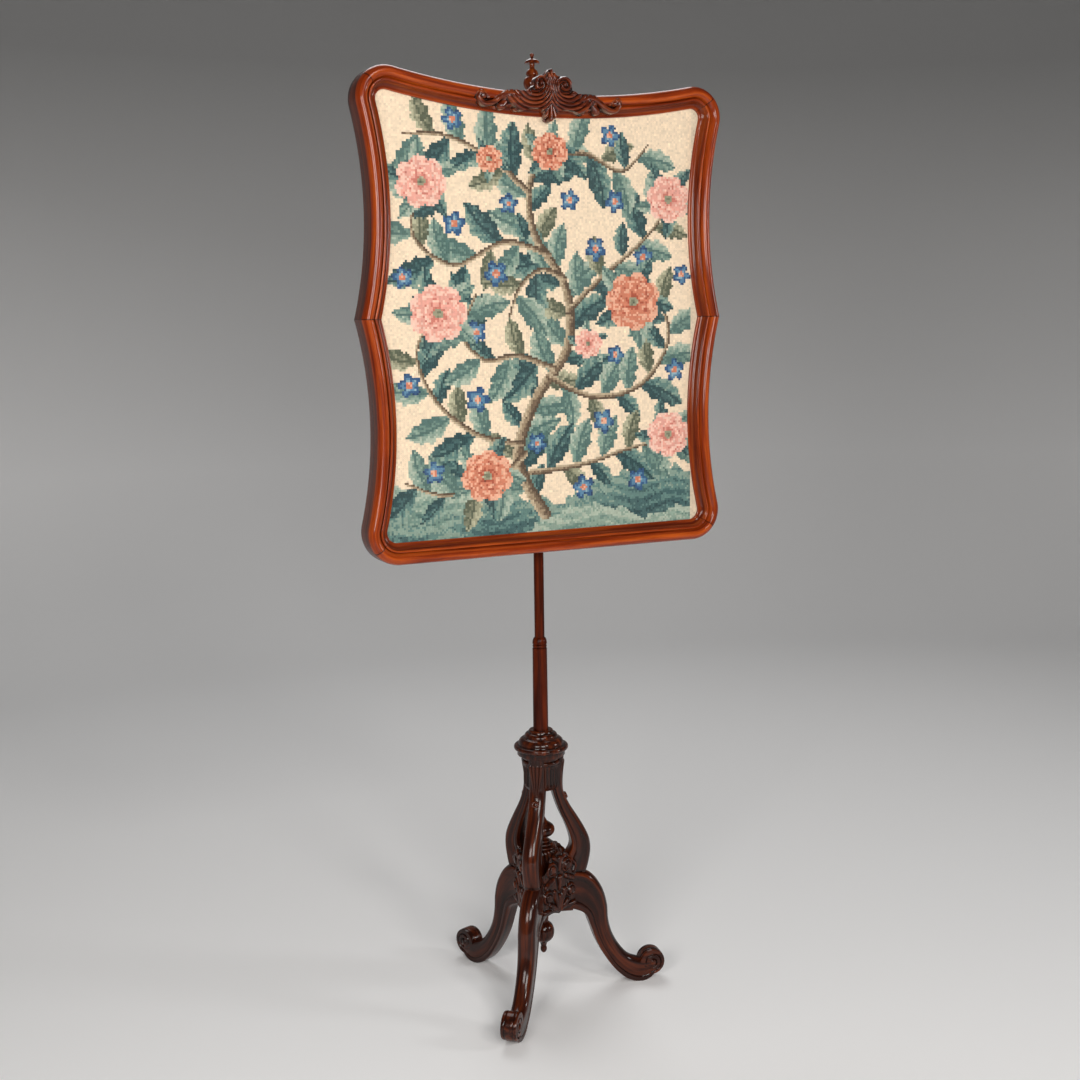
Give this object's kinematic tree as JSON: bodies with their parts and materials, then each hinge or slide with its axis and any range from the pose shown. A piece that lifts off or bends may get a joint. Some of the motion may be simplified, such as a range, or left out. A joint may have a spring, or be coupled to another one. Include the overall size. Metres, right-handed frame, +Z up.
{
  "type": "pole screen",
  "caption": "Pole screen with a carved serpentine wooden frame round a needlepoint panel, which slides and turns on a turned pole over a pierced tripod base with scroll feet.",
  "frame": {"origin": "on the floor, on the axis of the pole", "axes": "+Z up along the pole; the worked side of the panel faces -Y; +X is to the right of someone who looks at it"},
  "size_m": [0.601, 0.3654, 1.5],
  "materials": {
    "base_wood": "dark red-brown wood under a glossy hand polish",
    "frame_wood": "orange-brown wood under a glossy hand polish",
    "pale_wood": "bare pale wood",
    "back_wood": "stained wood, rubbed smooth",
    "needlepoint": "worked wool stitches on canvas",
    "brass": "aged brass"
  },
  "bodies": {
    "stand": {"leg_front": "base_wood", "leg_right": "base_wood", "leg_back": "base_wood", "base_hub": "base_wood", "pendant_drop": "base_wood", "leaf_apron_right": "base_wood", "leaf_apron_left": "base_wood", "leaf_apron_back": "base_wood", "cage_strut_front": "base_wood", "cage_strut_right": "base_wood", "cage_strut_back": "base_wood", "cage_finial": "base_wood", "cage_neck": "base_wood", "pole_collar": "base_wood", "lower_pole": "base_wood", "pole_ferrule": "base_wood", "upper_pole": "base_wood", "pole_finial": "base_wood", "leg_dowels": "pale_wood", "strut_dowels": "pale_wood"},
    "stop": {"stop_collar": "brass"},
    "screen": {"top_rail": "frame_wood", "bottom_rail": "frame_wood", "left_upper_stile": "frame_wood", "left_lower_stile": "frame_wood", "right_upper_stile": "frame_wood", "right_lower_stile": "frame_wood", "crest": "frame_wood", "frame_dowels": "pale_wood", "needlepoint": "needlepoint", "stretcher_board": "pale_wood", "back_board": "back_wood", "back_screws": "brass", "upper_bracket": "brass", "lower_bracket": "brass", "bracket_screws": "brass"},
    "thumb": {"thumb_screw": "brass"}
  },
  "joints": [
    {"name": "panel_height", "type": "slide", "parent": "stand", "child": "stop", "axis": [0, 0, 1], "range_m": [-0.14, 0.02]},
    {"name": "panel_swivel", "type": "hinge", "parent": "stop", "child": "screen", "pos_m": [0, 0, 0.7585], "axis": [0, 0, 1], "continuous": true},
    {"name": "thumb_screw_turn", "type": "hinge", "parent": "stop", "child": "thumb", "pos_m": [0, 0.012, 0.75215], "axis": [0, 1, 0], "range_deg": [0, 720]}
  ]
}
